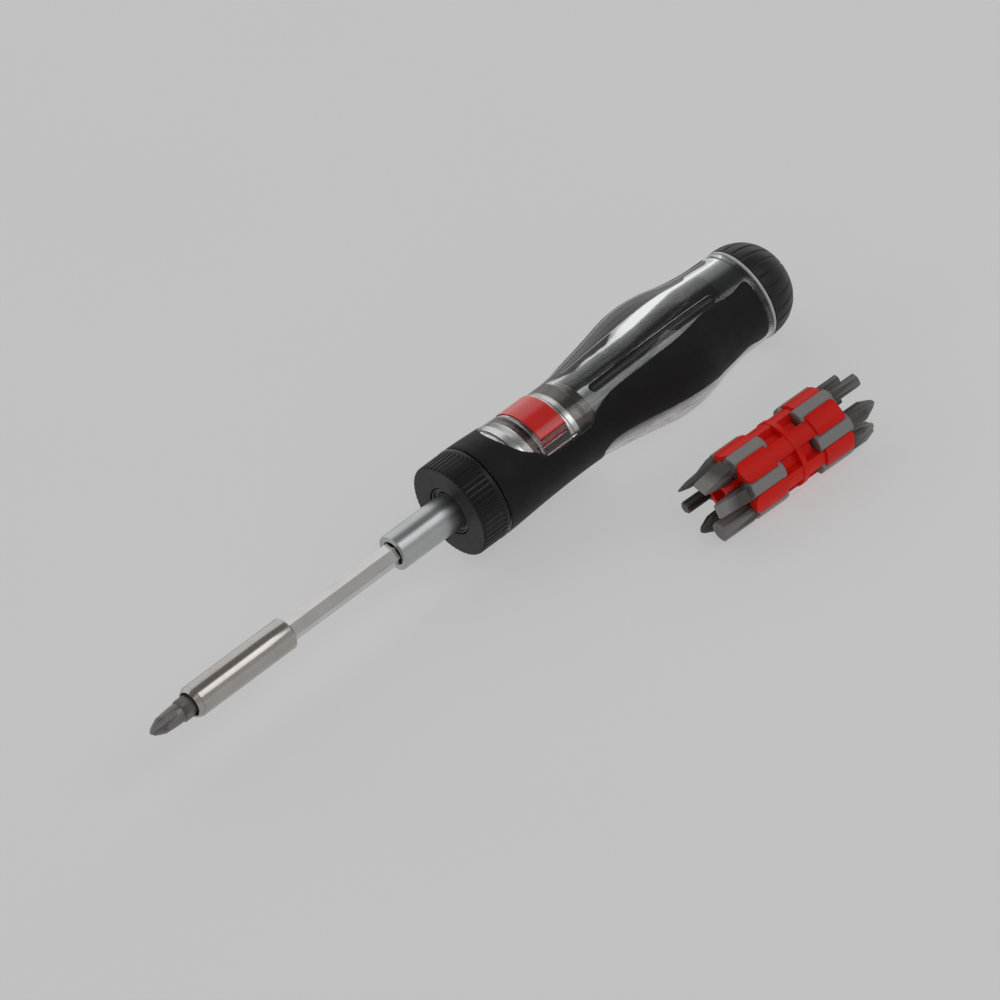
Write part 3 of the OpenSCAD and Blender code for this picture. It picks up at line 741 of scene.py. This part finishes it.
XB = -142.6
FR_A = math.radians(65.6)
cuts = [cutter("c1", *sector(-148.95, -136.5, 12.45, 18.0, math.radians(66.4))),
        cutter("c2", *saddle(XB - 5.3, XB + 5.3, 10.25, 10.5, 0, flat_top=20.0))]
cuts += [cutter("f%d" % i, *capsule(-211, -163, 1.6, math.radians(a), 11.65)) for i, a in enumerate((-150, -90, -30, 30, 90, 150))]
bool_cut(core, cuts)
shade(core, 30)
paint(core, "clear")

# ------------------------------------------------------------------ button frame and button
fv, ff = sector(-148.85, -136.6, 12.5, 14.18, FR_A)
frame_ob = new_obj("button_frame_clear", fv, ff, "handle", ["button_frame"])
bool_cut(frame_ob, [cutter("c3", *saddle(XB - 5.22, XB + 5.22, 10.17, 8.0, 0, flat_top=20.0))])
bevel(frame_ob, 0.25, 3, 40)
shade(frame_ob, 40)
paint(frame_ob, "frame")

bv, bf = saddle(XB - 4.98, XB + 4.98, 9.93, 12.1, 14.5)
button = new_obj("release_button_cap", bv, bf, "button", ["release_button"])
bevel(button, 0.45, 4, 40)
shade(button, 40)
paint(button, "red")


def coil(cx, cy, z0, h, rad, wire, turns, per=28, ring=8):
    """A round wire wound up from z0 to z0 + h, with closed ends."""
    v, f = [], []
    n = int(turns * per)
    for i in range(n + 1):
        a = 2 * math.pi * turns * i / n
        t = min(1.0, max(0.0, (i / n * turns - 0.4) / (turns - 0.8)))
        z = z0 + wire + (h - 2 * wire) * t
        for k in range(ring):
            b = 2 * math.pi * k / ring
            rr = rad + wire * math.cos(b)
            v.append((cx + rr * math.cos(a), cy + rr * math.sin(a), z + wire * math.sin(b)))
    for i in range(n):
        for k in range(ring):
            p, q = i * ring + k, i * ring + (k + 1) % ring
            f.append((p, q, q + ring, p + ring))
    f.append(tuple(range(ring))[::-1])
    f.append(tuple(n * ring + k for k in range(ring)))
    return v, f


sv, sf = [], []
for sgn in (-1, 1):
    a_, b_ = coil(XB - 3.3, 5.5 * sgn, 7.5, 2.7, 0.85, 0.15, 5.5)
    sf += [tuple(i + len(sv) for i in face) for face in b_]
    sv += a_
springs = new_obj("button_spring_coils", sv, sf, "handle", ["button_springs"])
paint(springs, "spring")
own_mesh(springs)

# ------------------------------------------------------------------ selector collar
RIBS = 55


def collar():
    seg = RIBS * 10
    # (x, r, how much of the rib groove applies)
    line = [(-108.45, 8.05, 0), (-106.75, 8.05, 0), (-106.55, 8.12, 0), (-106.43, 8.28, 0), (-106.4, 8.55, 0), (-106.4, 11.5, 0), (-106.4, 14.5, 0), (-106.4, 14.9, .15), (-106.46, 15.1, .5), (-106.62, 15.32, 1), (-106.9, 15.43, 1),
            (-107.6, 15.45, 1), (-110, 15.45, 1), (-112.5, 15.45, 1), (-114.7, 15.45, 1), (-114.95, 15.45, .8), (-115.1, 15.46, .3), (-115.25, 15.5, 0), (-115.5, 15.55, 0), (-116.4, 15.55, 0), (-116.65, 15.48, 0), (-116.8, 15.32, 0), (-116.84, 15.05, 0),
            (-116.84, 13.3, 0), (-108.5, 13.3, 0), (-108.45, 13.3, 0)]
    verts, faces = [], []
    for x, rr, g in line:
        for k in range(seg):
            t = (k % 10) / 10.0
            c = 0.5 + 0.5 * math.cos(2 * math.pi * t)          # 1 in the middle of the groove
            depth = 0.46 * g * max(0.0, (c - 0.42) / 0.58) ** 0.8 if c > 0.42 else 0.0
            verts.append(polar(x, rr - depth, 2 * math.pi * k / seg))
    n = len(line)
    for i in range(n):
        j = (i + 1) % n
        for k in range(seg):
            k2 = (k + 1) % seg
            faces.append((i * seg + k, j * seg + k, j * seg + k2, i * seg + k2))
    return verts, faces


sv, sf = collar()
collar_ob = new_obj("selector_collar", sv, sf, "selector", ["selector_ring"], sharp_deg=44)
paint(collar_ob, "black")

# ------------------------------------------------------------------ domed cap with grooves that meet at its pole
GROOVES = 24


def dome():
    seg, rows = 480, 90
    verts, faces = [], []
    rim = []
    x0, RR, HH = -226.9, 15.3, 14.7

    def groove(alpha, psi):
        # alpha from the pole (0) to the rim (90 deg)
        u_ = alpha / (math.pi / 2)
        if u_ < 0.05:
            return 0.0
        ph = psi * GROOVES / (2 * math.pi)
        dph = abs(ph - round(ph)) * 2 * math.pi / GROOVES * RR * math.sin(alpha)
        w = 0.16 + 0.12 * u_
        fade = min(1.0, (u_ - 0.05) / 0.15) * min(1.0, max(0.0, (1.0 - u_) / 0.03))
        return 0.30 * fade * math.exp(-(dph / w) ** 2)
    pole = len(verts)
    verts.append((x0 - HH, 0, 0))
    rings = []
    for i in range(1, rows + 1):
        al = (math.pi / 2) * i / rows * (1 - 0.004)
        ids = []
        for k in range(seg):
            psi = 2 * math.pi * k / seg
            q = 1 - groove(al, psi) / RR
            ids.append(len(verts))
            verts.append(polar(x0 - HH * q * math.cos(al) ** 0.9, RR * q * math.sin(al) ** 0.9, psi))
        rings.append(ids)
    for (x, rr) in ((-226.96, 15.2), (-226.9, 15.0), (-226.9, 9.0), (-226.9, 4.05), (-235.2, 4.05)):
        ids = []
        for k in range(seg):
            ids.append(len(verts))
            verts.append(polar(x, rr, 2 * math.pi * k / seg))
        rings.append(ids)
    end = len(verts)
    verts.append((-235.2, 0, 0))
    for k in range(seg):
        faces.append((pole, rings[0][k], rings[0][(k + 1) % seg]))
        faces.append((end, rings[-1][(k + 1) % seg], rings[-1][k]))
    for i in range(len(rings) - 1):
        a, c = rings[i], rings[i + 1]
        for k in range(seg):
            k2 = (k + 1) % seg
            faces.append((a[k], c[k], c[k2], a[k2]))
    return verts, faces


dv, df = dome()
dome_ob = new_obj("cap_dome_grooved", dv, df, "cap", ["cap_dome"], sharp_deg=50)
paint(dome_ob, "cap")

# ------------------------------------------------------------------ bit holder sleeve, drive tube, ring
hl = [(-39.8, 3.6), (-39.8, 4.35), (-39.74, 4.5), (-39.05, 5.2), (-38.9, 5.25), (-30, 5.25), (-20, 5.25), (-10, 5.25), (-1.95, 5.25)] + \
     [(-1.86, 5.2), (-1.8, 5.1), (-1.7, 5.07), (-1.6, 5.1), (-1.54, 5.18), (-1.45, 5.2), (-0.1, 4.52), (0.0, 4.42), (0.0, 4.1), (-0.15, 3.98), (-20.4, 3.98), (-20.4, 3.6)]
hv, hf = revolve(hl, 144)
holder = new_obj("bit_holder_barrel", hv, hf, "blade", ["bit_holder_sleeve"], sharp_deg=28)
paint(holder, "steel")

tl = [(-136.5, 4.75), (-136.5, 5.6), (-136.2, 5.9), (-127.4, 5.9), (-127.4, 5.4), (-126.3, 5.4), (-126.3, 5.9), (-118, 5.9), (-100, 5.9), (-83.7, 5.9)] + arc(-83.55, 5.55, 0.35, 90, 0, 5) + [(-83.2, 4.15), (-83.3, 4.0), (-84.4, 4.0), (-84.4, 4.75)]
tv, tf = revolve(tl, 144)
tube_ob = new_obj("drive_tube_satin", tv, tf, "drive", ["drive_tube"], sharp_deg=28)
paint(tube_ob, "satin")

rl = [(-226.8, 12.35)] + arc(-226.55, 15.0, 0.25, 180, 90, 4) + arc(-226.15, 15.0, 0.25, 90, 0, 4) + [(-225.9, 12.35)]
rv, rf = revolve(rl, 144)
ring_ob = new_obj("rear_ring_milky", rv, rf, "handle", ["rear_ring"], sharp_deg=30)
paint(ring_ob, "ring")

for n, w in (("hex_blade", 0.12), ("phillips_bit", 0.08), ("magazine_carrier", 0.22)):
    bevel(NODES[n], w, 2, 34)

# ------------------------------------------------------------------ floor and light
fl = bpy.data.meshes.new("floor")
S = 3.0
fl.from_pydata([(-S, -S, FLOOR * MM - 0.00005), (S, -S, FLOOR * MM - 0.00005), (S, S, FLOOR * MM - 0.00005), (-S, S, FLOOR * MM - 0.00005)], [], [(0, 1, 2, 3)])
floor = bpy.data.objects.new("floor", fl)
scene.collection.objects.link(floor)
fm, fnt, fp = base_mat("floor_pale")
fvv = coords(fnt)
fnt.links.new(ramp(fnt, noise(fnt, fvv, 6.0, 2.0), [(0.3, (0.225, 0.225, 0.225)), (0.7, (0.235, 0.235, 0.235))]), fp.inputs["Base Color"])
fp.inputs["Emission Color"].default_value = (1, 1, 1, 1)
fp.inputs["Emission Strength"].default_value = 0.408
fp.inputs["Roughness"].default_value = 0.9
fp.inputs["Specular IOR Level"].default_value = 0.1
fl.materials.append(fm)

world = bpy.data.worlds.new("studio")
scene.world = world
world.use_nodes = True
wt = world.node_tree
bg = wt.nodes["Background"]
wc = wt.nodes.new("ShaderNodeTexCoord")
ws = wt.nodes.new("ShaderNodeSeparateXYZ")
wt.links.new(wc.outputs["Generated"], ws.inputs[0])
wa = wt.nodes.new("ShaderNodeMath")
wa.operation = "ARCTAN2"
wt.links.new(ws.outputs["Y"], wa.inputs[0])
wt.links.new(ws.outputs["Z"], wa.inputs[1])
# brightness of the studio round the tool's axis: degrees from straight up towards +Y
SKY = [(-180, .70), (-60, .70), (-32, .72), (-22, .17), (14, .15), (24, .38), (30, .42), (31.5, .72), (34.5, .72), (36, .42), (42, .38), (52, .33), (84, .36), (104, .62), (180, .70)]
wf = remap(wt, wa.outputs[0], 0.0, 1.0, -math.pi, math.pi)
wt.links.new(ramp(wt, wf, [((a + 180) / 360, (v, v, v)) for a, v in SKY]), bg.inputs["Color"])
bg.inputs["Strength"].default_value = 1.25


def area(name, loc, target, size, power, size_y=None):
    d = bpy.data.lights.new(name, "AREA")
    d.energy = power
    d.size = size
    if size_y:
        d.shape = "RECTANGLE"
        d.size_y = size_y
    o = bpy.data.objects.new(name, d)
    scene.collection.objects.link(o)
    z = (Vector(loc) - Vector(target)).normalized()
    o.matrix_world = Matrix.Translation(loc) @ z.to_track_quat("Z", "Y").to_matrix().to_4x4()
    return o


mid = (-0.12, 0.02, 0.0)
area("key_softbox", (-0.65, 0.80, 0.98), mid, 0.7, 1.7)

scene.view_settings.view_transform = "Standard"
scene.view_settings.look = "None"
scene.view_settings.exposure = 0.0
